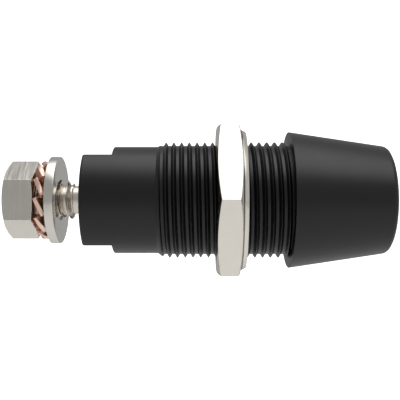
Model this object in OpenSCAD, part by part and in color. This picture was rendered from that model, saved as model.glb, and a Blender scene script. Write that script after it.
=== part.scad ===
// Panel-mount 4 mm banana socket: insulated threaded body, turned contact with a screw tail,
// hexagon panel nut, and a plain washer, toothed washer and nut for a ring lug.
// The socket's axis is X, with the plug side at +X. The origin is the centre of the head's rear
// face, where the panel sits. Sizes are in millimetres.

/* [Insulating body] */
// Diameter of the head where it meets the panel
head_rear_d = 14.1; // [13.4:0.1:16]
// Diameter of the head at its front rim
head_front_d = 11.05; // [10.8:0.05:13]
// Length of the head in front of the panel
head_len = 10.2; // [8:0.1:14]
// Rounding of the head's front rim
head_edge_r = 0.6; // [0.2:0.05:0.6]
// Rounding of the head's rear edge
seat_edge_r = 0.05; // [0.05:0.01:0.3]
// Diameter of the tail behind the thread
tail_d = 11.05; // [10.4:0.05:11.2]
// Length of the tail
tail_len = 7.45; // [6:0.05:12]
// Rounding of the tail's rear edge
tail_edge_r = 0.25; // [0.05:0.05:0.4]
// Width across the two flats at the tail's end
flats_w = 9.1; // [8.4:0.1:10]
// Length of those flats
flats_len = 2.95; // [2:0.05:5]

/* [Panel thread] */
// Outside diameter of the panel thread
panel_thread_d = 12; // [11.9:0.05:12.8]
// Pitch of the panel thread
panel_thread_pitch = 0.8; // [0.6:0.05:1]
// Height of the panel thread's ridges
panel_thread_depth = 0.375; // [0.2:0.005:0.4]
// Length of the panel thread
panel_thread_len = 13.45; // [11:0.05:20]

/* [Plug opening] */
// Bore of the contact, for the plug's pin
plug_d = 4; // [3.6:0.05:4.2]
// Depth of the contact's bore
plug_depth = 18; // [14:0.5:20]
// Outside diameter of the ring-shaped space for the plug's shroud
shroud_d = 8.4; // [8:0.05:8.8]
// Depth of the shroud's space from the front face
shroud_depth = 21; // [16:0.5:22]
// Bevel at the mouth
mouth_bevel = 0.3; // [0.1:0.05:0.4]
// Outside diameter of the insulating post around the contact
post_d = 6.2; // [5.9:0.05:6.8]
// How far the post stands back from the front face
post_recess = 4.5; // [2:0.1:6]
// Bore of the lip that covers the contact's end
lip_d = 4.4; // [4.3:0.05:4.8]
// Length of that lip
lip_len = 0.5; // [0.3:0.05:1]

/* [Contact] */
// Outside diameter of the contact's sleeve
sleeve_d = 5; // [4.8:0.05:5.4]
// Diameter of the collar pressed into the body's rear
collar_d = 6.8; // [6.4:0.1:7.6]
// Width across the collar's two flats, which stop it turning
collar_flats = 5.6; // [5.4:0.1:6.2]
// Length of the collar inside the body
collar_len = 5; // [3:0.1:6]
// How far the collar stands out of the body's rear face
collar_proud = 0.1; // [0:0.05:0.4]
// Radial play between the contact and the body
contact_play = 0.02; // [0.01:0.01:0.05]
// Outside diameter of the stud's thread
stud_d = 4; // [3.6:0.05:4.2]
// Pitch of the stud's thread
stud_pitch = 0.7; // [0.5:0.05:0.8]
// Height of the stud thread's ridges
stud_thread_depth = 0.43; // [0.25:0.01:0.45]
// Diameter of the relief neck between the collar and the stud's thread
neck_d = 2.9; // [2.4:0.05:3]
// Length of the relief neck
neck_len = 1.25; // [0.4:0.05:1.5]
// How far the stud's end lies inside the terminal nut's outer face
stud_inset = 0.15; // [0:0.05:0.6]

/* [Panel nut] */
// Width across the panel nut's flats
panel_nut_af = 15; // [14.5:0.1:18]
// Height of the panel nut's hexagon
panel_nut_h = 2.5; // [2:0.1:4]
// Diameter of the nut's round seating face
seat_d = 14.1; // [13.4:0.1:14.5]
// Height of the tapered foot under that face
seat_h = 0.5; // [0.3:0.05:1]
// Diameter of the flat circle inside the hexagon's end chamfers
panel_nut_face_d = 14.6; // [13.6:0.1:15]
// Slope of the hexagon's end chamfers, in degrees
panel_nut_slope = 15; // [10:1:30]
// Space between the head and the panel nut
panel_gap = 4.45; // [0.5:0.05:8]

/* [Terminal washers and nut] */
// Space between the contact's collar and the plain washer, for a ring lug
lug_gap = 2.55; // [0.5:0.05:4]
// Outside diameter of the plain washer
washer_d = 9; // [8.5:0.1:10]
// Thickness of the plain washer
washer_t = 0.9; // [0.5:0.05:1.2]
// Diameter over the toothed washer's teeth
lock_d = 8; // [7.6:0.1:9]
// Number of teeth
lock_teeth = 12; // [8:1:13]
// Thickness of the toothed washer's sheet
lock_t = 0.45; // [0.3:0.05:0.6]
// Width of the toothed washer's ring
lock_ring_w = 1.1; // [0.6:0.05:1.2]
// Width of a tooth at the ring
tooth_root_w = 1.5; // [0.8:0.05:1.5]
// Width of a tooth at its tip
tooth_tip_w = 2; // [1.4:0.05:2.1]
// Twist of a tooth from ring to tip, in degrees
tooth_twist = 25; // [15:1:40]
// Width across the terminal nut's flats
terminal_nut_af = 7; // [6.8:0.1:8]
// Height of the terminal nut
terminal_nut_h = 3.2; // [2.2:0.1:4]
// Diameter of the flat circle inside the terminal nut's chamfers
terminal_nut_face_d = 6.4; // [5.6:0.1:7]
// Slope of the terminal nut's outer chamfer, in degrees
outer_slope = 20; // [15:1:35]
// Slope of the terminal nut's inner chamfer, in degrees
inner_slope = 15; // [10:1:30]

/* [Fits] */
// Radial play between a nut and its thread
thread_play = 0.05; // [0.02:0.01:0.1]
// Radial play between the two washers and the stud's thread
washer_play = 0.1; // [0.05:0.01:0.25]
// Space on each side of the toothed washer
lock_play = 0.01; // [0.01:0.01:0.1]

/* [Hidden] */
$fn = 96;

// Flat on top of each thread ridge, and the ridge's flank angle
ridge_top = 0.06;
flank = 30;

// Small sizes that the pieces share
overlap = 0.2;
nut_countersink = 0.25;
edge_break = 0.06;
stud_bevel = 0.4;
sleeve_bevel = 0.2;
drill_half_angle = 59;
tooth_relief = 0.01;
tooth_steps = 6;
tooth_columns = 4;
tooth_phase = 10;
arc_steps = 6;

// Places along the axis, from the panel's face
thread_end = -panel_thread_len;
rear_end = thread_end - tail_len;
post_front = head_len - post_recess;
contact_front = post_front - lip_len - contact_play;
collar_front = rear_end + collar_len;
collar_end = rear_end - collar_proud;
washer_front = collar_end - lug_gap;
washer_rear = washer_front - washer_t;
lock_h = tooth_tip_w * sin(tooth_twist) + lock_t * cos(tooth_twist);
terminal_front = washer_rear - lock_h - 2 * lock_play;
terminal_rear = terminal_front - terminal_nut_h;
stud_end = terminal_rear + stud_inset;
panel_nut_front = -panel_gap;

// Hole of both washers
washer_hole_r = stud_d / 2 + washer_play;

// Turns a profile of [radius, place along the axis] points about the X axis
module revolve(profile) {
    rotate([0, 90, 0])
        rotate_extrude()
            polygon(profile);
}

// Cylinder of diameter d along the X axis, from x0 to x1
module rod(d, x0, x1) {
    translate([x0, 0, 0])
        rotate([0, 90, 0])
            cylinder(d = d, h = x1 - x0);
}

// Points of an arc, anticlockwise from angle a0 to a1
function arc(centre, r, a0, a1) =
    [for (i = [0 : arc_steps])
        let (a = a0 + (a1 - a0) * i / arc_steps)
        centre + r * [cos(a), sin(a)]];

// Outline of a row of thread ridges between x0 and x1, with the root at each end
function thread_outline(d, pitch, depth, x0, x1) =
    let (
        root = d / 2 - depth,
        count = floor((x1 - x0) / pitch),
        start = x0 + (x1 - x0 - count * pitch) / 2,
        half_top = ridge_top / 2,
        half_base = half_top + depth * tan(flank)
    )
    concat(
        [[root, x0]],
        [for (i = [0 : count - 1])
            let (x = start + (i + 0.5) * pitch)
            each [
                [root, x - half_base], [d / 2, x - half_top],
                [d / 2, x + half_top], [root, x + half_base]
            ]],
        [[root, x1]]
    );

// Outside of the moulding: tail, thread, tapered head
function body_outline() =
    let (
        taper = atan((head_rear_d - head_front_d) / 2 / head_len),
        edge_x = head_len - head_edge_r,
        edge_r = head_rear_d / 2 - edge_x * tan(taper) - head_edge_r / cos(taper)
    )
    concat(
        [[0, rear_end]],
        arc([tail_d / 2 - tail_edge_r, rear_end + tail_edge_r], tail_edge_r, -90, 0),
        [[tail_d / 2, thread_end]],
        thread_outline(panel_thread_d, panel_thread_pitch, panel_thread_depth, thread_end, 0),
        arc([head_rear_d / 2 - seat_edge_r, seat_edge_r], seat_edge_r, -90, 0),
        arc([edge_r, edge_x], head_edge_r, taper, 90),
        [[0, head_len]]
    );

// Ring-shaped space for the plug's shroud, open to the full width in front of the post
function shroud_outline() =
    let (floor_x = head_len - shroud_depth)
    [
        [post_d / 2, floor_x],
        [shroud_d / 2, floor_x],
        [shroud_d / 2, head_len - mouth_bevel],
        [shroud_d / 2 + mouth_bevel + overlap, head_len + overlap],
        [0, head_len + overlap],
        [0, post_front],
        [post_d / 2 - sleeve_bevel, post_front],
        [post_d / 2, post_front - sleeve_bevel]
    ];

// Collar with two flats, grown all round by play
module flatted_collar(x0, x1, play) {
    intersection() {
        rod(collar_d + 2 * play, x0, x1);
        translate([x0 - overlap, -collar_d, -collar_flats / 2 - play])
            cube([x1 - x0 + 2 * overlap, 2 * collar_d, collar_flats + 2 * play]);
    }
}

// What the two flats take off the end of the tail
module tail_flats_cut() {
    for (side = [0, 1])
        rotate([180 * side, 0, 0])
            translate([rear_end - overlap, -tail_d / 2, flats_w / 2])
                cube([flats_len + overlap, tail_d, tail_d / 2]);
}

module insulating_body() {
    color("#2e2e30")
        difference() {
            revolve(body_outline());
            tail_flats_cut();
            revolve(shroud_outline());
            rod(lip_d, contact_front, post_front + overlap);
            rod(sleeve_d + 2 * contact_play, collar_front - overlap, contact_front + contact_play);
            flatted_collar(rear_end - overlap, collar_front + contact_play, contact_play);
        }
}

// Sleeve, neck and screw tail of the contact, before its bore
function contact_outline() =
    let (
        stud_thread = thread_outline(stud_d, stud_pitch, stud_thread_depth,
            stud_end + stud_bevel, collar_end - neck_len)
    )
    concat(
        [[0, stud_end], [stud_d / 2 - stud_thread_depth - stud_bevel / 2, stud_end]],
        stud_thread,
        [
            [neck_d / 2, collar_end - neck_len],
            [neck_d / 2, collar_end + overlap],
            [sleeve_d / 2, collar_end + overlap],
            [sleeve_d / 2, contact_front - sleeve_bevel],
            [sleeve_d / 2 - sleeve_bevel, contact_front],
            [0, contact_front]
        ]
    );

// Blind bore with a bevelled mouth and a drilled end
function plug_bore_outline() =
    let (
        r = plug_d / 2,
        end_x = contact_front - plug_depth
    )
    [
        [0, end_x - r / tan(drill_half_angle)],
        [r, end_x],
        [r, contact_front - sleeve_bevel],
        [r + sleeve_bevel + overlap, contact_front + overlap],
        [0, contact_front + overlap]
    ];

module socket_contact() {
    color("#c9c7c1")
        difference() {
            union() {
                revolve(contact_outline());
                flatted_collar(collar_end, collar_front, 0);
            }
            revolve(plug_bore_outline());
        }
}

// Hexagon along X from x0 to x1, with its end corners turned off at the given slopes;
// turned by spin degrees about the axis from a corner at the top
module hexagon(af, face_d, x0, x1, rear_slope, front_slope, spin) {
    corner_r = af / sqrt(3);
    face_r = face_d / 2;
    rim = corner_r - face_r + overlap;
    intersection() {
        translate([x0, 0, 0])
            rotate([spin, 0, 0])
                rotate([0, 90, 0])
                    cylinder(r = corner_r, h = x1 - x0, $fn = 6);
        revolve([
            [0, x0],
            [face_r, x0],
            [face_r + rim, x0 + rim * tan(rear_slope)],
            [face_r + rim, x1 - rim * tan(front_slope)],
            [face_r, x1],
            [0, x1]
        ]);
    }
}

// Through bore from x0 to x1 for a thread of diameter d, countersunk at both ends
module nut_bore(d, x0, x1) {
    r = d / 2 + thread_play;
    revolve([
        [0, x0 - overlap],
        [r + nut_countersink + overlap, x0 - overlap],
        [r, x0 + nut_countersink],
        [r, x1 - nut_countersink],
        [r + nut_countersink + overlap, x1 + overlap],
        [0, x1 + overlap]
    ]);
}

module panel_nut() {
    hex_front = panel_nut_front - seat_h;
    hex_rear = hex_front - panel_nut_h;
    face_r = panel_nut_face_d / 2;
    foot_slope = (face_r - seat_d / 2) / seat_h;
    color("#d8d6d0")
        difference() {
            union() {
                hexagon(panel_nut_af, panel_nut_face_d, hex_rear, hex_front,
                    panel_nut_slope, panel_nut_slope, 30);
                revolve([
                    [0, hex_front - overlap],
                    [face_r + overlap * foot_slope, hex_front - overlap],
                    [seat_d / 2, panel_nut_front],
                    [0, panel_nut_front]
                ]);
            }
            nut_bore(panel_thread_d, hex_rear, panel_nut_front);
        }
}

module plain_washer() {
    inner = washer_hole_r;
    outer = washer_d / 2;
    color("#bdbbb5")
        revolve([
            [inner, washer_rear],
            [outer - edge_break, washer_rear],
            [outer, washer_rear + edge_break],
            [outer, washer_front - edge_break],
            [outer - edge_break, washer_front],
            [inner, washer_front]
        ]);
}

// Points round a tooth's section at radius r: one face, then the other. Widths are measured along
// the circle of that radius, so the tip is round as the blank was.
function tooth_section(r, ring_r) =
    let (
        s = max(0, (r - ring_r) / (lock_d / 2 - ring_r)),
        half_t = lock_t / 2 - tooth_relief,
        half_w = (tooth_root_w + (tooth_tip_w - tooth_root_w) * s) / 2,
        twist = tooth_twist * s
    )
    [for (face = [1, -1], i = [0 : tooth_columns])
        let (
            x = face * half_t,
            y = face * half_w * (2 * i / tooth_columns - 1),
            turn = (x * sin(twist) + y * cos(twist)) / r * 180 / PI
        )
        [x * cos(twist) - y * sin(twist), r * sin(turn), r * cos(turn)]];

// One tooth: a strip that widens and twists from inside the ring to its tip
module twisted_tooth(ring_r) {
    start_r = ring_r - overlap;
    length = lock_d / 2 - start_r;
    points = [for (i = [0 : tooth_steps]) each tooth_section(start_r + length * i / tooth_steps, ring_r)];
    n = 2 * (tooth_columns + 1);
    last = n * tooth_steps;
    sides = [for (i = [0 : tooth_steps - 1], j = [0 : n - 1])
        let (k = n * i + j, m = n * i + (j + 1) % n)
        each [[k, k + n, m], [m, k + n, m + n]]];
    root = [for (j = [0 : tooth_columns - 1])
        each [[j, j + 1, n - 2 - j], [j, n - 2 - j, n - 1 - j]]];
    tip = [for (f = root) [last + f[2], last + f[1], last + f[0]]];
    polyhedron(points, concat(root, sides, tip));
}

module toothed_lock_washer() {
    inner = washer_hole_r;
    ring_r = inner + lock_ring_w;
    middle = washer_rear - lock_play - lock_h / 2;
    color("#b9795a")
        translate([middle, 0, 0])
            union() {
                revolve([
                    [inner, -lock_t / 2],
                    [ring_r, -lock_t / 2],
                    [ring_r, lock_t / 2],
                    [inner, lock_t / 2]
                ]);
                for (i = [0 : lock_teeth - 1])
                    rotate([360 * i / lock_teeth + tooth_phase, 0, 0])
                        twisted_tooth(ring_r);
            }
}

module terminal_nut() {
    color("#c2c0ba")
        difference() {
            hexagon(terminal_nut_af, terminal_nut_face_d, terminal_rear, terminal_front,
                outer_slope, inner_slope, 0);
            nut_bore(stud_d, terminal_rear, terminal_front);
        }
}

insulating_body();
socket_contact();
panel_nut();
plain_washer();
toothed_lock_washer();
terminal_nut();
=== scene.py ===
"""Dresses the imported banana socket: a detailed piece for each solid, finishes, light and camera.

The part's sizes are in millimetres and become metres when a mesh is made. The stage, the light and the
camera are in metres. The socket's axis is X, with the plug side at +X. Angles about it are in degrees,
from +Z at the top towards -Y, the camera's side.
"""

import math
from typing import NamedTuple

import bmesh
import bpy
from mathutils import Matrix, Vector


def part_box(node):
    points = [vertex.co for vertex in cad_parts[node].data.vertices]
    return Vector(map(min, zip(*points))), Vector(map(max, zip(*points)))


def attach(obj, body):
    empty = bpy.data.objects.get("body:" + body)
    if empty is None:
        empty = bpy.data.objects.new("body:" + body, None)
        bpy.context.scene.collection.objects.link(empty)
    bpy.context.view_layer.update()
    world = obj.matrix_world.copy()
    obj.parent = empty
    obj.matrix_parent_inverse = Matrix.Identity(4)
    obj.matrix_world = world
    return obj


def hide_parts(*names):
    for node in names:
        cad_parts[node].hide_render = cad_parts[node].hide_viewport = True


MM = 0.001

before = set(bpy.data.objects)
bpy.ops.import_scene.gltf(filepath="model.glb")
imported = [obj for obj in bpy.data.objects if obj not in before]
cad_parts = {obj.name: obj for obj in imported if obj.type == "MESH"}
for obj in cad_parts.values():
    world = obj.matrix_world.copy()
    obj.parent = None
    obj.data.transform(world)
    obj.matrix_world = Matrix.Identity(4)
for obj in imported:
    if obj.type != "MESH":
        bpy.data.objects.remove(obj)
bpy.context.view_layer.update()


def reach(node):
    """Lowest and highest X of a solid, and how far it reaches along Y and along Z, in millimetres."""
    low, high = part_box(node)
    return low.x / MM, high.x / MM, high.y / MM, high.z / MM


# Places and outside sizes, from the solids
BODY_REAR, BODY_FRONT, HEAD_R, _ = reach("insulating_body")
CONTACT_REAR, CONTACT_FRONT, _, _ = reach("socket_contact")
PANEL_NUT_REAR, PANEL_NUT_FRONT, _, PANEL_NUT_APOTHEM = reach("panel_nut")
WASHER_REAR, WASHER_FRONT, WASHER_R, _ = reach("plain_washer")
LOCK_REAR, LOCK_FRONT, _, _ = reach("toothed_lock_washer")
TERMINAL_REAR, TERMINAL_FRONT, TERMINAL_APOTHEM, _ = reach("terminal_nut")

# Insulating body
TAIL_R = 5.525
TAIL_LEN = 7.45
TAIL_EDGE_ROUND = 0.25
FLATS_HALF_W = 4.55
FLATS_LEN = 2.95
FLATS_EDGE_ROUND = 0.1
HEAD_FRONT_R = 5.525
HEAD_RIM_ROUND = 0.6
HEAD_SEAT_ROUND = 0.05
CORNER_FILLET = 0.08
SHROUD_R = 4.2
SHROUD_DEPTH = 21.0
MOUTH_BEVEL = 0.3
POST_R = 3.1
POST_RECESS = 4.5
POST_ROUND = 0.2
LIP_R = 2.2

# Contact
PLAY = 0.02
SLEEVE_R = 2.5
BORE_R = 2.0
BORE_DEPTH = 18.0
BORE_BEVEL = 0.2
DRILL_HALF_ANGLE = 59
COLLAR_R = 3.4
COLLAR_HALF_FLATS = 2.8
COLLAR_LEN = 5.0
COLLAR_PROUD = 0.1
NECK_R = 1.45
STUD_END_R = 1.4
STUD_THREAD_FRONT = -22.11
STUD_RUNOUT_SLOPE = 2.5

# Nuts
HEX_SIDES = 6
SIDE_ANGLE = 360 / HEX_SIDES
HALF_SIDE = SIDE_ANGLE / 2
HEX_CORNER_ROUND = 0.05
HEX_EDGE_ROUND = 0.05
NUT_COUNTERSINK = 0.25
PANEL_CORNER = 90
PANEL_FACE_R = 7.3
PANEL_CHAMFER = 15
SEAT_R = 7.075
SEAT_LEN = 0.5
SEAT_BASE_R = 7.29
SEAT_EDGE_ROUND = 0.02
RELIEF_R = 7.1
RELIEF_W = 0.08
TERMINAL_CORNER = 0
TERMINAL_FACE_R = 3.2
OUTER_CHAMFER = 20
INNER_CHAMFER = 15

# Washers
WASHER_HOLE_R = 2.1
WASHER_ROLL = 0.06
WASHER_BURR = 0.03
LOCK_R = 3.97
LOCK_RING_R = 3.2
LOCK_T = 0.45
LOCK_EDGE = 0.03
LOCK_TEETH = 12
LOCK_PHASE = 10
TOOTH_ROOT_W = 1.5
TOOTH_TIP_W = 2.0
TOOTH_TWIST = 27

# Mesh fineness
ROUND_STEPS = 160
FLAT_STEPS = 12
CORNER_STEPS = 4
ARC_STEPS = 4
TOOTH_STEPS = 8
TOOTH_COLUMNS = 6
EDGE_SEGMENTS = 2

# Points closer than WELD become one, NO_STEP stands for no step where the tail has no flats, angles are
# rounded to ANGLE_DIGITS where the flats end, and edges past SHARP_ANGLE stay sharp
WELD = 0.0002
NO_STEP = 0.0001
ANGLE_DIGITS = 4
SHARP_ANGLE = 33


class Thread(NamedTuple):
    """A right-hand thread: base_r is the radius between its ridges; a ridge passes the top at crest_x."""

    base_r: float
    height: float
    pitch: float
    crest_x: float


# Threads
RIDGE_TOP = 0.06
RIDGE_FLANK = 30
RIDGE_BLUNT = 0.02
PANEL_LEAD_SLOPE = 0.72
PANEL_THREAD = Thread(base_r=5.625, height=0.375, pitch=0.8, crest_x=-12.627)
PANEL_NUT_THREAD = PANEL_THREAD._replace(base_r=6.05)
STUD_THREAD = Thread(base_r=1.57, height=0.43, pitch=0.7, crest_x=-22.08)
TERMINAL_NUT_THREAD = STUD_THREAD._replace(base_r=2.05, height=0.4)


def ridge_radius(thread, x, angle):
    """Radius of a thread's surface at a place along the axis and an angle."""
    half_top = RIDGE_TOP / 2
    flank = thread.height * math.tan(math.radians(RIDGE_FLANK))
    turns = (x - thread.crest_x) / thread.pitch - angle / 360
    off = abs(turns - round(turns)) * thread.pitch
    rise = (half_top + flank - off) / flank
    return thread.base_r + thread.height * min(max(rise, 0), 1)


def thread_points(thread, x0, x1, angle, trim):
    """Outline of a thread from x0 to x1 at one angle; trim(x, radius) cuts its ends to shape."""
    half_top = RIDGE_TOP / 2
    half_base = half_top + thread.height * math.tan(math.radians(RIDGE_FLANK))
    side = [
        half_top - RIDGE_BLUNT,
        half_top + RIDGE_BLUNT,
        (half_top + half_base) / 2,
        half_base - RIDGE_BLUNT,
        half_base + RIDGE_BLUNT,
        thread.pitch / 2,
    ]
    offsets = [-d for d in reversed(side[:-1])] + side
    first = math.floor((x0 - thread.crest_x) / thread.pitch) - 1
    last = math.ceil((x1 - thread.crest_x) / thread.pitch)
    points = []
    for k in range(first, last + 1):
        crest = thread.crest_x + thread.pitch * (k + angle / 360)
        for offset in offsets:
            x = min(max(crest + offset, x0), x1)
            points.append((x, trim(x, ridge_radius(thread, x, angle))))
    return points


def round_corners(outline):
    """Points of an outline of (x, radius, rounding) corners, with an arc at each rounded one."""
    points = []
    for i, (x, r, rounding) in enumerate(outline):
        here = Vector((x, r))
        if not rounding:
            points.append((x, r))
            continue
        before = (Vector(outline[i - 1][:2]) - here).normalized()
        after = (Vector(outline[(i + 1) % len(outline)][:2]) - here).normalized()
        half = before.angle(after) / 2
        centre = here + (before + after).normalized() * (rounding / math.sin(half))
        start = here + before * (rounding / math.tan(half)) - centre
        end = here + after * (rounding / math.tan(half)) - centre
        for step in range(ARC_STEPS + 1):
            spoke = start.lerp(end, step / ARC_STEPS).normalized() * rounding
            points.append(tuple(centre + spoke))
    return points


def sharp(points):
    """Points as corners without rounding."""
    return [(x, r, 0) for x, r in points]


def link_object(name, data):
    """Adds an object to the scene."""
    thing = bpy.data.objects.new(name, data)
    bpy.context.scene.collection.objects.link(thing)
    return thing


def mesh_object(name, mesh):
    """Turns a bmesh into an object."""
    data = bpy.data.meshes.new(name)
    mesh.to_mesh(data)
    mesh.free()
    return link_object(name, data)


def shade_smooth(piece):
    """Shades a piece smoothly between its sharp edges."""
    piece.data.shade_smooth()
    piece.data.set_sharp_from_angle(angle=math.radians(SHARP_ANGLE))


def keep_flats(piece):
    """Weights the normals by face area, so that narrow roundings don't shade the flats beside them."""
    weighted = piece.modifiers.new("weighted_normals", "WEIGHTED_NORMAL")
    weighted.keep_sharp = True


def vertex(mesh, x, radius, angle):
    """New vertex at a place along the axis, a distance from it and an angle about it."""
    turn = math.radians(angle % 360)
    return mesh.verts.new((x * MM, -radius * math.sin(turn) * MM, radius * math.cos(turn) * MM))


def lathe(name, angles, profile, closed=True):
    """Solid from profile(angle), which gives as many (x, radius) points at every angle.

    A closed profile runs round in a ring, and an open one starts and ends on the axis. The last angle is
    the first one a full turn later. Its points meet the first ones, shifted by one ridge on a thread.
    """
    mesh = bmesh.new()
    columns = [[vertex(mesh, x, r, angle) for x, r in profile(angle)] for angle in angles]
    count = len(columns[0])
    for left, right in zip(columns, columns[1:]):
        for i in range(count if closed else count - 1):
            j = (i + 1) % count
            mesh.faces.new((left[i], left[j], right[j], right[i]))
    bmesh.ops.remove_doubles(mesh, verts=mesh.verts, dist=WELD * MM)
    bmesh.ops.dissolve_degenerate(mesh, edges=mesh.edges, dist=WELD * MM)
    bmesh.ops.recalc_face_normals(mesh, faces=mesh.faces)
    piece = mesh_object(name, mesh)
    shade_smooth(piece)
    keep_flats(piece)
    return piece


def flatted_radius(angle, radius, half_flats):
    """Radius of a round section with one flat at the top and one at the bottom."""
    slope = abs(math.cos(math.radians(angle)))
    return radius if slope * radius < half_flats else half_flats / slope


def round_angles():
    """Even angles of a full turn, with the edges of the tail's and the collar's flats added."""
    angles = {360 * i / ROUND_STEPS for i in range(ROUND_STEPS + 1)}
    for radius, half_flats in ((TAIL_R, FLATS_HALF_W), (COLLAR_R, COLLAR_HALF_FLATS)):
        edge = math.degrees(math.acos(half_flats / radius))
        angles |= {round(a, ANGLE_DIGITS) for a in (edge, 180 - edge, 180 + edge, 360 - edge)}
    return sorted(angles)


def corner_centre(apothem):
    """Distance from the axis to the centre of a hexagon's corner rounding."""
    return (apothem - HEX_CORNER_ROUND) / math.cos(math.radians(HALF_SIDE))


def corner_half_angle(apothem):
    """Half the angle about the axis that a hexagon's rounded corner takes up."""
    half = math.radians(HALF_SIDE)
    out = corner_centre(apothem) + HEX_CORNER_ROUND * math.cos(half)
    return math.degrees(math.atan2(HEX_CORNER_ROUND * math.sin(half), out))


def hex_radius(angle, apothem, corner):
    """Radius of a hexagon with rounded corners, one of them at the angle corner."""
    off = abs((angle - corner + HALF_SIDE) % SIDE_ANGLE - HALF_SIDE)
    if off >= corner_half_angle(apothem):
        return apothem / math.cos(math.radians(HALF_SIDE - off))
    centre = corner_centre(apothem)
    turn = math.radians(off)
    return centre * math.cos(turn) + math.sqrt(HEX_CORNER_ROUND**2 - (centre * math.sin(turn)) ** 2)


def hex_angles(apothem, corner):
    """Angles of a full turn from one corner, close together at the corners."""
    edge = corner_half_angle(apothem)
    flat = SIDE_ANGLE - 2 * edge
    angles = []
    for side in range(HEX_SIDES):
        start = corner + SIDE_ANGLE * side
        angles += [start - edge + 2 * edge * i / CORNER_STEPS for i in range(CORNER_STEPS)]
        angles += [start + edge + flat * i / FLAT_STEPS for i in range(FLAT_STEPS)]
    return angles + [angles[0] + 360]


def insulating_body():
    """One moulding: a tail with two flats, a thread, a tapered head, and an opening with a post inside."""
    flats_front = BODY_REAR + FLATS_LEN
    thread_rear = BODY_REAR + TAIL_LEN
    post_front = BODY_FRONT - POST_RECESS
    shroud_floor = BODY_FRONT - SHROUD_DEPTH
    collar_front = BODY_REAR + COLLAR_LEN + PLAY
    contact_stop = CONTACT_FRONT + PLAY

    def lead_in(x, r):
        return min(r, TAIL_R + PANEL_LEAD_SLOPE * (x - thread_rear))

    def profile(angle):
        pocket_r = flatted_radius(angle, COLLAR_R, COLLAR_HALF_FLATS) + PLAY
        flats_r = min(flatted_radius(angle, TAIL_R, FLATS_HALF_W), TAIL_R - NO_STEP)
        step = (TAIL_R - flats_r) / 2
        thread = thread_points(PANEL_THREAD, thread_rear, 0, angle, lead_in)
        return round_corners(
            [
                (BODY_REAR, pocket_r, 0),
                (BODY_REAR, flats_r, TAIL_EDGE_ROUND),
                (flats_front, flats_r, min(CORNER_FILLET, step)),
                (flats_front, TAIL_R, min(FLATS_EDGE_ROUND, step)),
                *sharp(thread),
                (0, HEAD_R, HEAD_SEAT_ROUND),
                (BODY_FRONT, HEAD_FRONT_R, HEAD_RIM_ROUND),
                (BODY_FRONT, SHROUD_R + MOUTH_BEVEL, CORNER_FILLET),
                (BODY_FRONT - MOUTH_BEVEL, SHROUD_R, CORNER_FILLET),
                (shroud_floor, SHROUD_R, CORNER_FILLET),
                (shroud_floor, POST_R, CORNER_FILLET),
                (post_front, POST_R, POST_ROUND),
                (post_front, LIP_R, CORNER_FILLET),
                (contact_stop, LIP_R, 0),
                (contact_stop, SLEEVE_R + PLAY, 0),
                (collar_front, SLEEVE_R + PLAY, 0),
                (collar_front, pocket_r, 0),
            ]
        )

    return lathe("insulating_body_moulding", round_angles(), profile)


def socket_contact():
    """Threaded stud, neck, collar with two flats and sleeve with the plug's bore, turned in one piece."""
    collar_rear = BODY_REAR - COLLAR_PROUD
    collar_front = BODY_REAR + COLLAR_LEN
    bore_end = CONTACT_FRONT - BORE_DEPTH
    drill_tip = bore_end - BORE_R / math.tan(math.radians(DRILL_HALF_ANGLE))

    def bevels(x, r):
        runout_r = NECK_R + STUD_RUNOUT_SLOPE * (STUD_THREAD_FRONT - x)
        return min(r, STUD_END_R + x - CONTACT_REAR, runout_r)

    def profile(angle):
        collar_r = flatted_radius(angle, COLLAR_R, COLLAR_HALF_FLATS)
        thread = thread_points(STUD_THREAD, CONTACT_REAR, STUD_THREAD_FRONT, angle, bevels)
        return round_corners(
            [
                (CONTACT_REAR, 0, 0),
                *sharp(thread),
                (collar_rear, NECK_R, CORNER_FILLET),
                (collar_rear, collar_r, CORNER_FILLET),
                (collar_front, collar_r, CORNER_FILLET),
                (collar_front, SLEEVE_R, 0),
                (CONTACT_FRONT, SLEEVE_R, CORNER_FILLET),
                (CONTACT_FRONT, BORE_R + BORE_BEVEL, CORNER_FILLET),
                (CONTACT_FRONT - BORE_BEVEL, BORE_R, CORNER_FILLET),
                (bore_end, BORE_R, 0),
                (drill_tip, 0, 0),
            ]
        )

    return lathe("socket_contact_turned", round_angles(), profile, closed=False)


def nut_bore(thread, rear, front, angle):
    """Threaded bore from the front to the rear, countersunk at both ends."""

    def countersink(x, r):
        return max(r, thread.base_r + NUT_COUNTERSINK - min(x - rear, front - x))

    return list(reversed(thread_points(thread, rear, front, angle, countersink)))


def panel_nut():
    """Hexagon nut, chamfered on both sides, with a round seat in front and a fine groove behind it."""
    hex_front = PANEL_NUT_FRONT - SEAT_LEN
    slope = math.tan(math.radians(PANEL_CHAMFER))

    def profile(angle):
        hex_r = hex_radius(angle, PANEL_NUT_APOTHEM, PANEL_CORNER)
        drop = (hex_r - PANEL_FACE_R) * slope
        return round_corners(
            [
                (PANEL_NUT_REAR, PANEL_FACE_R, HEX_EDGE_ROUND),
                (PANEL_NUT_REAR + drop, hex_r, HEX_EDGE_ROUND),
                (hex_front - drop, hex_r, HEX_EDGE_ROUND),
                (hex_front, PANEL_FACE_R, HEX_EDGE_ROUND),
                (hex_front, RELIEF_R, 0),
                (hex_front + RELIEF_W, RELIEF_R, 0),
                (hex_front + RELIEF_W, SEAT_BASE_R, SEAT_EDGE_ROUND),
                (PANEL_NUT_FRONT, SEAT_R, HEX_EDGE_ROUND),
                *sharp(nut_bore(PANEL_NUT_THREAD, PANEL_NUT_REAR, PANEL_NUT_FRONT, angle)),
            ]
        )

    return lathe("panel_nut_threaded", hex_angles(PANEL_NUT_APOTHEM, PANEL_CORNER), profile)


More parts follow.
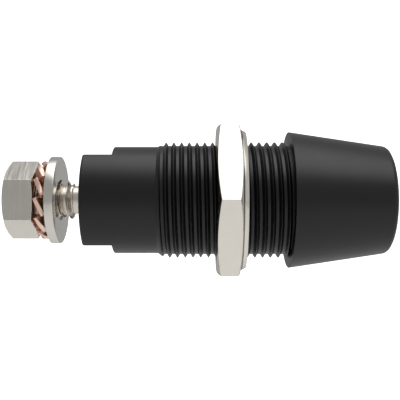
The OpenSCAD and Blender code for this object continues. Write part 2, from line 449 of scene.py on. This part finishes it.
def terminal_nut():
    """Hexagon nut with a chamfer on both sides, the outer one steeper."""
    outer = math.tan(math.radians(OUTER_CHAMFER))
    inner = math.tan(math.radians(INNER_CHAMFER))

    def profile(angle):
        hex_r = hex_radius(angle, TERMINAL_APOTHEM, TERMINAL_CORNER)
        excess = hex_r - TERMINAL_FACE_R
        return round_corners(
            [
                (TERMINAL_REAR, TERMINAL_FACE_R, HEX_EDGE_ROUND),
                (TERMINAL_REAR + excess * outer, hex_r, HEX_EDGE_ROUND),
                (TERMINAL_FRONT - excess * inner, hex_r, HEX_EDGE_ROUND),
                (TERMINAL_FRONT, TERMINAL_FACE_R, HEX_EDGE_ROUND),
                *sharp(nut_bore(TERMINAL_NUT_THREAD, TERMINAL_REAR, TERMINAL_FRONT, angle)),
            ]
        )

    return lathe("terminal_nut_threaded", hex_angles(TERMINAL_APOTHEM, TERMINAL_CORNER), profile)


def plain_washer():
    """Stamped ring, rolled over at its front edges and sharper at its rear ones."""

    def profile(angle):
        return round_corners(
            [
                (WASHER_REAR, WASHER_HOLE_R, WASHER_BURR),
                (WASHER_REAR, WASHER_R, WASHER_BURR),
                (WASHER_FRONT, WASHER_R, WASHER_ROLL),
                (WASHER_FRONT, WASHER_HOLE_R, WASHER_ROLL),
            ]
        )

    return lathe("plain_washer_stamped", round_angles(), profile)


def toothed_lock_washer():
    """Flat ring with twisted teeth, made as a sheet and then given its thickness and softened edges."""
    middle = (LOCK_REAR + LOCK_FRONT) / 2
    twist = math.radians(TOOTH_TWIST)
    root_half_angle = math.degrees(TOOTH_ROOT_W / 2 / LOCK_RING_R)
    shares = [2 * i / TOOTH_COLUMNS - 1 for i in range(TOOTH_COLUMNS + 1)]
    mesh = bmesh.new()

    def strip(low, high):
        for i in range(len(low) - 1):
            mesh.faces.new((low[i], low[i + 1], high[i + 1], high[i]))

    ring_radii = [WASHER_HOLE_R, (WASHER_HOLE_R + LOCK_RING_R) / 2, LOCK_RING_R]
    rows = [[] for _ in ring_radii]
    for tooth in range(LOCK_TEETH):
        centre = LOCK_PHASE + 360 * tooth / LOCK_TEETH
        angles = [centre - 180 / LOCK_TEETH] + [centre + root_half_angle * s for s in shares]
        for row, radius in zip(rows, ring_radii):
            row += [vertex(mesh, middle, radius, angle) for angle in angles]
        below = rows[-1][-len(shares):]
        for step in range(1, TOOTH_STEPS + 1):
            share = step / TOOTH_STEPS
            half_w = (TOOTH_ROOT_W + (TOOTH_TIP_W - TOOTH_ROOT_W) * share) / 2
            radius = LOCK_RING_R + (LOCK_R - LOCK_RING_R) * share
            half_angle = math.degrees(half_w * math.cos(twist * share) / radius)
            half_rise = half_w * math.sin(twist * share)
            above = [vertex(mesh, middle + half_rise * s, radius, centre + half_angle * s) for s in shares]
            strip(below, above)
            below = above
    for inner, outer in zip(rows, rows[1:]):
        strip(inner + inner[:1], outer + outer[:1])
    bmesh.ops.recalc_face_normals(mesh, faces=mesh.faces)
    piece = mesh_object("toothed_lock_washer_twisted", mesh)
    shade_smooth(piece)
    sheet = piece.modifiers.new("sheet", "SOLIDIFY")
    sheet.thickness = LOCK_T * MM
    sheet.offset = 0
    soft = piece.modifiers.new("soft_edges", "BEVEL")
    soft.width = LOCK_EDGE * MM
    soft.segments = EDGE_SEGMENTS
    soft.limit_method = "ANGLE"
    soft.angle_limit = math.radians(SHARP_ANGLE)
    keep_flats(piece)
    return piece


# Span of values that a noise mostly takes, and the strength of a faint relief
NOISE_LOW = 0.3
NOISE_HIGH = 0.7
FAINT = 0.3

# Drawing lines on the panel nut; grinding streaks on the terminal nut, and what counts as an upper face
DRAWING_SCALE = (600, 9000, 9000)
STREAK_SCALE = (3200, 160, 160)
STREAK_SLANT = 5.5
STREAK_DEPTH = 0.12
FACES_UP = 0.7

# Lock washer: how far out it is darkened as painted shade, and from where it is bright
PAINTED_SHADE_R = 3.6
BRIGHT_R = 3.92


class Shader:
    """A material's nodes, with short ways to add the ones that the finishes share."""

    def __init__(self, name, **sockets):
        self.material = bpy.data.materials.new(name)
        self.material.use_nodes = True
        self.tree = self.material.node_tree
        self.surface = self.tree.nodes["Principled BSDF"]
        for socket, value in sockets.items():
            self.set(socket.replace("_", " "), value)

    def feed(self, socket, value):
        """Links an input to another node's output, or sets it to a value."""
        if isinstance(value, bpy.types.NodeSocket):
            self.tree.links.new(value, socket)
        else:
            socket.default_value = value

    def set(self, socket, value):
        """Feeds one of the surface's own inputs."""
        self.feed(self.surface.inputs[socket], value)

    def add(self, kind, **inputs):
        """A node, with its inputs fed by name."""
        node = self.tree.nodes.new(kind)
        for socket, value in inputs.items():
            self.feed(node.inputs[socket], value)
        return node

    def result(self, kind, operation, *values):
        """Result of a node that works with numbers or vectors."""
        node = self.tree.nodes.new(kind)
        node.operation = operation
        for socket, value in zip(node.inputs, values):
            self.feed(socket, value)
        return node.outputs["Value"]

    def place(self):
        """Coordinates that stay with the piece, in metres."""
        return self.add("ShaderNodeTexCoord").outputs["Object"]

    def part(self, vector, axis):
        """One of a vector's three numbers."""
        return self.add("ShaderNodeSeparateXYZ", Vector=vector).outputs[axis]

    def along(self):
        """Place along the axis, in metres."""
        return self.part(self.place(), "X")

    def radius(self):
        """Distance from the axis, in metres."""
        place = self.place()
        across = self.add("ShaderNodeCombineXYZ", Y=self.part(place, "Y"), Z=self.part(place, "Z"))
        return self.result("ShaderNodeVectorMath", "LENGTH", across.outputs["Vector"])

    def turned(self):
        """Coordinates that change only along the axis and outwards, as a turning tool's marks do."""
        return self.add("ShaderNodeCombineXYZ", X=self.along(), Y=self.radius()).outputs["Vector"]

    def stretched(self, vector, scale=(1, 1, 1), rotation=(0, 0, 0)):
        """Coordinates that are scaled and then rotated."""
        node = self.add("ShaderNodeMapping", Vector=vector, Scale=scale, Rotation=rotation)
        return node.outputs["Vector"]

    def noise(self, vector, scale=1, detail=3):
        """Cloudy texture."""
        return self.add("ShaderNodeTexNoise", Vector=vector, Scale=scale, Detail=detail).outputs["Fac"]

    def ranged(self, value, start, end, low, high):
        """Number that goes from low to high as a value goes from start to end."""
        node = self.add("ShaderNodeMapRange", Value=value)
        limits = {"From Min": start, "From Max": end, "To Min": low, "To Max": high}
        for socket, limit in limits.items():
            node.inputs[socket].default_value = limit
        return node.outputs["Result"]

    def between(self, noise, low, high):
        """Number that goes from low to high as a noise goes from dark to light."""
        return self.ranged(noise, NOISE_LOW, NOISE_HIGH, low, high)

    def colours(self, noise, dark, light):
        """Colour that goes from one to another as a noise goes from dark to light."""
        ramp = self.add("ShaderNodeValToRGB", Fac=noise)
        ends = ((NOISE_LOW, dark), (NOISE_HIGH, light))
        for element, (position, colour) in zip(ramp.color_ramp.elements, ends):
            element.position = position
            element.color = (*colour, 1)
        return ramp.outputs["Color"]

    def band(self, middle, width):
        """Share that is 1 in a band along the axis and 0 beside it; middle and width in millimetres."""
        return self.result("ShaderNodeMath", "COMPARE", self.along(), middle * MM, width / 2 * MM)

    def outwards(self, start, end):
        """Share that goes from 0 to 1 between two distances from the axis, in millimetres."""
        return self.ranged(self.radius(), start * MM, end * MM, 0, 1)

    def upper(self):
        """Share that is 1 on what faces up when the piece is at rest, and 0 elsewhere."""
        normal = self.add("ShaderNodeTexCoord").outputs["Normal"]
        return self.result("ShaderNodeMath", "GREATER_THAN", self.part(normal, "Z"), FACES_UP)

    def mixed(self, share, first, second):
        """Colour that goes from the first one to the second one with a share."""
        mix = self.add("ShaderNodeMix")
        mix.data_type = "RGBA"
        sockets = {socket.identifier: socket for socket in mix.inputs}
        for name, value in (("Factor_Float", share), ("A_Color", first), ("B_Color", second)):
            self.feed(sockets[name], value)
        return next(socket for socket in mix.outputs if socket.identifier == "Result_Color")

    def bump(self, height, depth, strength=1):
        """Fine relief, depth in millimetres."""
        node = self.add("ShaderNodeBump", Height=height, Strength=strength, Distance=depth * MM)
        self.set("Normal", node.outputs["Normal"])


def black_moulding():
    """Half-gloss black plastic with a faint grain from the mould."""
    shader = Shader("black_moulding", Specular_IOR_Level=0.5)
    place = shader.place()
    cloud = shader.noise(place, scale=350)
    grain = shader.noise(place, scale=9000, detail=2)
    black = shader.colours(cloud, dark=(0.001, 0.001, 0.00105), light=(0.0015, 0.0015, 0.0016))
    shader.set("Base Color", black)
    shader.set("Roughness", shader.between(cloud, low=0.32, high=0.36))
    shader.bump(grain, depth=0.001, strength=FAINT)
    return shader.material


def turned_metal(name, dark, light, low_rough, high_rough):
    """Plated metal with the faint rings of a turning tool."""
    shader = Shader(name, Metallic=1)
    marks = shader.noise(shader.turned(), scale=14000, detail=2)
    cloud = shader.noise(shader.place(), scale=500)
    shader.set("Base Color", shader.colours(cloud, dark, light))
    shader.set("Roughness", shader.between(marks, low_rough, high_rough))
    shader.bump(marks, depth=0.0005, strength=FAINT)
    return shader.material


def nickel_contact():
    """Contact: turned brass, nickel plated."""
    dark = (0.75, 0.705, 0.645)
    light = (0.79, 0.745, 0.685)
    return turned_metal("nickel_contact", dark, light, low_rough=0.2, high_rough=0.26)


def steel_washer():
    """Plain washer: steel, nickel plated."""
    dark = (0.755, 0.73, 0.67)
    light = (0.795, 0.77, 0.71)
    return turned_metal("steel_washer", dark, light, low_rough=0.14, high_rough=0.2)


def nickel_nut():
    """Panel nut: bright plating over drawing lines along the bar, with painted shade in the groove behind
    its seat.
    """
    shader = Shader("nickel_nut", Metallic=1)
    place = shader.place()
    lines = shader.noise(shader.stretched(place, DRAWING_SCALE), detail=2)
    cloud = shader.noise(place, scale=300)
    plating = shader.colours(cloud, dark=(0.845, 0.8, 0.728), light=(0.885, 0.84, 0.768))
    # The dark colour in the groove is painted shade, where the groove lies in shadow
    groove_painted_shade = shader.colours(cloud, dark=(0.27, 0.255, 0.225), light=(0.31, 0.295, 0.265))
    groove = PANEL_NUT_FRONT - SEAT_LEN + RELIEF_W / 2
    shader.set("Base Color", shader.mixed(shader.band(groove, RELIEF_W), plating, groove_painted_shade))
    shader.set("Roughness", shader.between(lines, low=0.1, high=0.16))
    shader.bump(lines, depth=0.0005, strength=FAINT)
    return shader.material


def steel_nut():
    """Terminal nut: plated steel with grinding streaks across its flats, and a painted streaky reflection
    in the colour of the upper ones.
    """
    shader = Shader("steel_nut", Metallic=1)
    place = shader.place()
    slanted = shader.stretched(place, rotation=(0, 0, math.radians(-STREAK_SLANT)))
    streaks = shader.noise(shader.stretched(slanted, STREAK_SCALE))
    cloud = shader.noise(place, scale=600)
    plain = shader.colours(cloud, dark=(0.795, 0.758, 0.695), light=(0.835, 0.798, 0.735))
    # On the upper faces the light and dark streaks in the colour are a painted reflection over the grinding
    # streaks
    upper_streaks_painted_sheen = shader.colours(streaks, dark=(0.56, 0.533, 0.49), light=(1.0, 0.965, 0.89))
    shader.set("Base Color", shader.mixed(shader.upper(), plain, upper_streaks_painted_sheen))
    shader.set("Roughness", shader.between(streaks, low=0.08, high=0.16))
    shader.bump(streaks, STREAK_DEPTH)
    return shader.material


def copper_lock_washer():
    """Lock washer: unplated copper alloy, lighter at the tips of the teeth and darker towards the ring as
    painted shade.
    """
    shader = Shader("copper_lock_washer", Metallic=1)
    place = shader.place()
    cloud = shader.noise(place, scale=900)
    grain = shader.noise(place, scale=12000, detail=2)
    # The darker copper towards the ring is painted shade, where the teeth lie between the nut and the plain
    # washer
    shaded_copper = shader.colours(cloud, dark=(0.88, 0.5, 0.37), light=(0.95, 0.57, 0.43))
    bright = shader.colours(cloud, dark=(0.98, 0.69, 0.57), light=(1.0, 0.74, 0.62))
    shader.set("Base Color", shader.mixed(shader.outwards(PAINTED_SHADE_R, BRIGHT_R), shaded_copper, bright))
    shader.set("Roughness", shader.between(grain, low=0.3, high=0.4))
    shader.bump(grain, depth=0.001, strength=FAINT)
    return shader.material


def dress(piece, node, body, material):
    """Puts a piece in the place of a solid: its body and its finish."""
    piece.data.materials.append(material)
    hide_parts(node)
    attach(piece, body)


dress(insulating_body(), "insulating_body", "socket", black_moulding())
dress(socket_contact(), "socket_contact", "socket", nickel_contact())
dress(panel_nut(), "panel_nut", "panel_nut", nickel_nut())
dress(plain_washer(), "plain_washer", "terminal_washers", steel_washer())
copper = copper_lock_washer()
dress(toothed_lock_washer(), "toothed_lock_washer", "terminal_washers", copper)
dress(terminal_nut(), "terminal_nut", "terminal_nut", steel_nut())

# Stage: a pale floor well below the part, and a white dome that only the camera sees
STAGE_ROUGHNESS = 0.9
FLOOR_X = (-1.35, 1.35)
FLOOR_Y = (-1.35, 0.29)
FLOOR_Z = -0.11
FLOOR_COLOUR = (0.835, 0.835, 0.825, 1)
FLOOR_GLOW = 0.14
POOL_R = 0.22
DOME_RADIUS = 2.0
DOME_RINGS = 24
DOME_COLOUR = (0.8, 0.8, 0.8, 1)
DOME_WHITE = (1, 1, 1, 1)
DOME_GLOW = 1.2


def stage_object(name, mesh, material):
    """Turns a bmesh into a floor or a backdrop, which isn't part of the object."""
    thing = mesh_object(name, mesh)
    thing.data.materials.append(material)
    return thing


def add_floor():
    """Pale matt floor with a painted pool of light below the part: it glows by itself, brightest in the
    middle.
    """
    shader = Shader(
        "floor",
        Base_Color=FLOOR_COLOUR,
        Roughness=STAGE_ROUGHNESS,
        Emission_Strength=FLOOR_GLOW,
    )
    # The glow is a painted pool of light, not light from the softbox
    from_middle = shader.stretched(shader.place(), scale=(1 / POOL_R, 1 / POOL_R, 0))
    pool = shader.add("ShaderNodeTexGradient", Vector=from_middle)
    pool.gradient_type = "SPHERICAL"
    shader.set("Emission Color", pool.outputs["Color"])
    mesh = bmesh.new()
    corners = [(FLOOR_X[i], FLOOR_Y[j], FLOOR_Z) for i, j in ((0, 0), (1, 0), (1, 1), (0, 1))]
    mesh.faces.new([mesh.verts.new(corner) for corner in corners])
    stage_object("floor", mesh, shader.material)


def add_dome():
    """White backdrop that glows by itself and lights nothing."""
    shader = Shader(
        "dome",
        Base_Color=DOME_COLOUR,
        Roughness=STAGE_ROUGHNESS,
        Emission_Color=DOME_WHITE,
        Emission_Strength=DOME_GLOW,
    )
    mesh = bmesh.new()
    bmesh.ops.create_uvsphere(mesh, u_segments=2 * DOME_RINGS, v_segments=DOME_RINGS, radius=DOME_RADIUS)
    dome = stage_object("dome", mesh, shader.material)
    dome.visible_diffuse = False
    dome.visible_glossy = False
    dome.visible_transmission = False
    dome.visible_shadow = False


# Light: one large oval softbox overhead that fades towards its rim, in a grey room paler at the plug's end.
# FADE_MIDDLE is the softbox's middle in its own coordinates, which run from 0 to 1.
ROOM_GREY = 0.36
ROOM_GREY_RIGHT = 0.49
SOFTBOX_HEIGHT = 0.6
SOFTBOX_SIZE = (2.11, 0.984)
SOFTBOX_CENTRE = (0.165, -0.175)
SOFTBOX_TURN = -42
SOFTBOX_RADIANCE = 2.0
FADE_MIDDLE = (0.5, 0.5, 0)
SOFTBOX_FADE = (
    (0, 1),
    (0.1, 0.97),
    (0.125, 0.92),
    (0.16, 0.78),
    (0.19, 0.72),
    (0.235, 0.55),
    (0.26, 0.46),
    (0.3, 0.28),
    (0.33, 0.16),
    (0.375, 0.07),
    (0.5, 0),
)


def fade(tree, factor, steps):
    """Grey that follows a number through steps of (number, level)."""
    ramp = tree.nodes.new("ShaderNodeValToRGB")
    tree.links.new(factor, ramp.inputs["Fac"])
    elements = ramp.color_ramp.elements
    while len(elements) < len(steps):
        elements.new(1)
    for element, (number, level) in zip(elements, steps):
        element.position = number
        element.color = (level, level, level, 1)
    return ramp.outputs["Color"]


def add_room():
    """Grey surroundings, paler at the plug's end."""
    room = bpy.data.worlds.new("room")
    room.use_nodes = True
    tree = room.node_tree
    direction = tree.nodes.new("ShaderNodeTexCoord").outputs["Generated"]
    split = tree.nodes.new("ShaderNodeSeparateXYZ")
    tree.links.new(direction, split.inputs["Vector"])
    grey = fade(tree, split.outputs["X"], ((0, ROOM_GREY), (1, ROOM_GREY_RIGHT)))
    tree.links.new(grey, tree.nodes["Background"].inputs["Color"])
    bpy.context.scene.world = room


def add_softbox():
    """Oval softbox above the part, brightest in its middle."""
    softbox = bpy.data.lights.new("softbox", "AREA")
    softbox.shape = "ELLIPSE"
    softbox.size, softbox.size_y = SOFTBOX_SIZE
    area = math.pi / 4 * SOFTBOX_SIZE[0] * SOFTBOX_SIZE[1]
    softbox.energy = SOFTBOX_RADIANCE * math.pi * area
    softbox.use_nodes = True
    tree = softbox.node_tree
    off_middle = tree.nodes.new("ShaderNodeVectorMath")
    off_middle.operation = "DISTANCE"
    tree.links.new(tree.nodes.new("ShaderNodeNewGeometry").outputs["Parametric"], off_middle.inputs[0])
    off_middle.inputs[1].default_value = FADE_MIDDLE
    glow = tree.nodes["Emission"].inputs
    glow["Strength"].default_value = 1
    tree.links.new(fade(tree, off_middle.outputs["Value"], SOFTBOX_FADE), glow["Color"])
    lamp = link_object("softbox", softbox)
    lamp.location = (*SOFTBOX_CENTRE, SOFTBOX_HEIGHT)
    lamp.rotation_euler = (0, 0, math.radians(SOFTBOX_TURN))


# Camera: level with the axis, square to it and close in front
CAMERA_X = -0.009115
CAMERA_Y = -0.0722
CAMERA_LENS = 62.3
CAMERA_CLIP = 0.005


def add_camera():
    """Camera that looks along +Y."""
    camera = bpy.data.cameras.new("camera")
    camera.lens = CAMERA_LENS
    camera.clip_start = CAMERA_CLIP
    eye = link_object("camera", camera)
    eye.location = (CAMERA_X, CAMERA_Y, 0)
    eye.rotation_euler = (math.radians(90), 0, 0)
    bpy.context.scene.camera = eye


add_floor()
add_dome()
add_room()
add_softbox()
add_camera()
bpy.context.scene.view_settings.view_transform = "Standard"
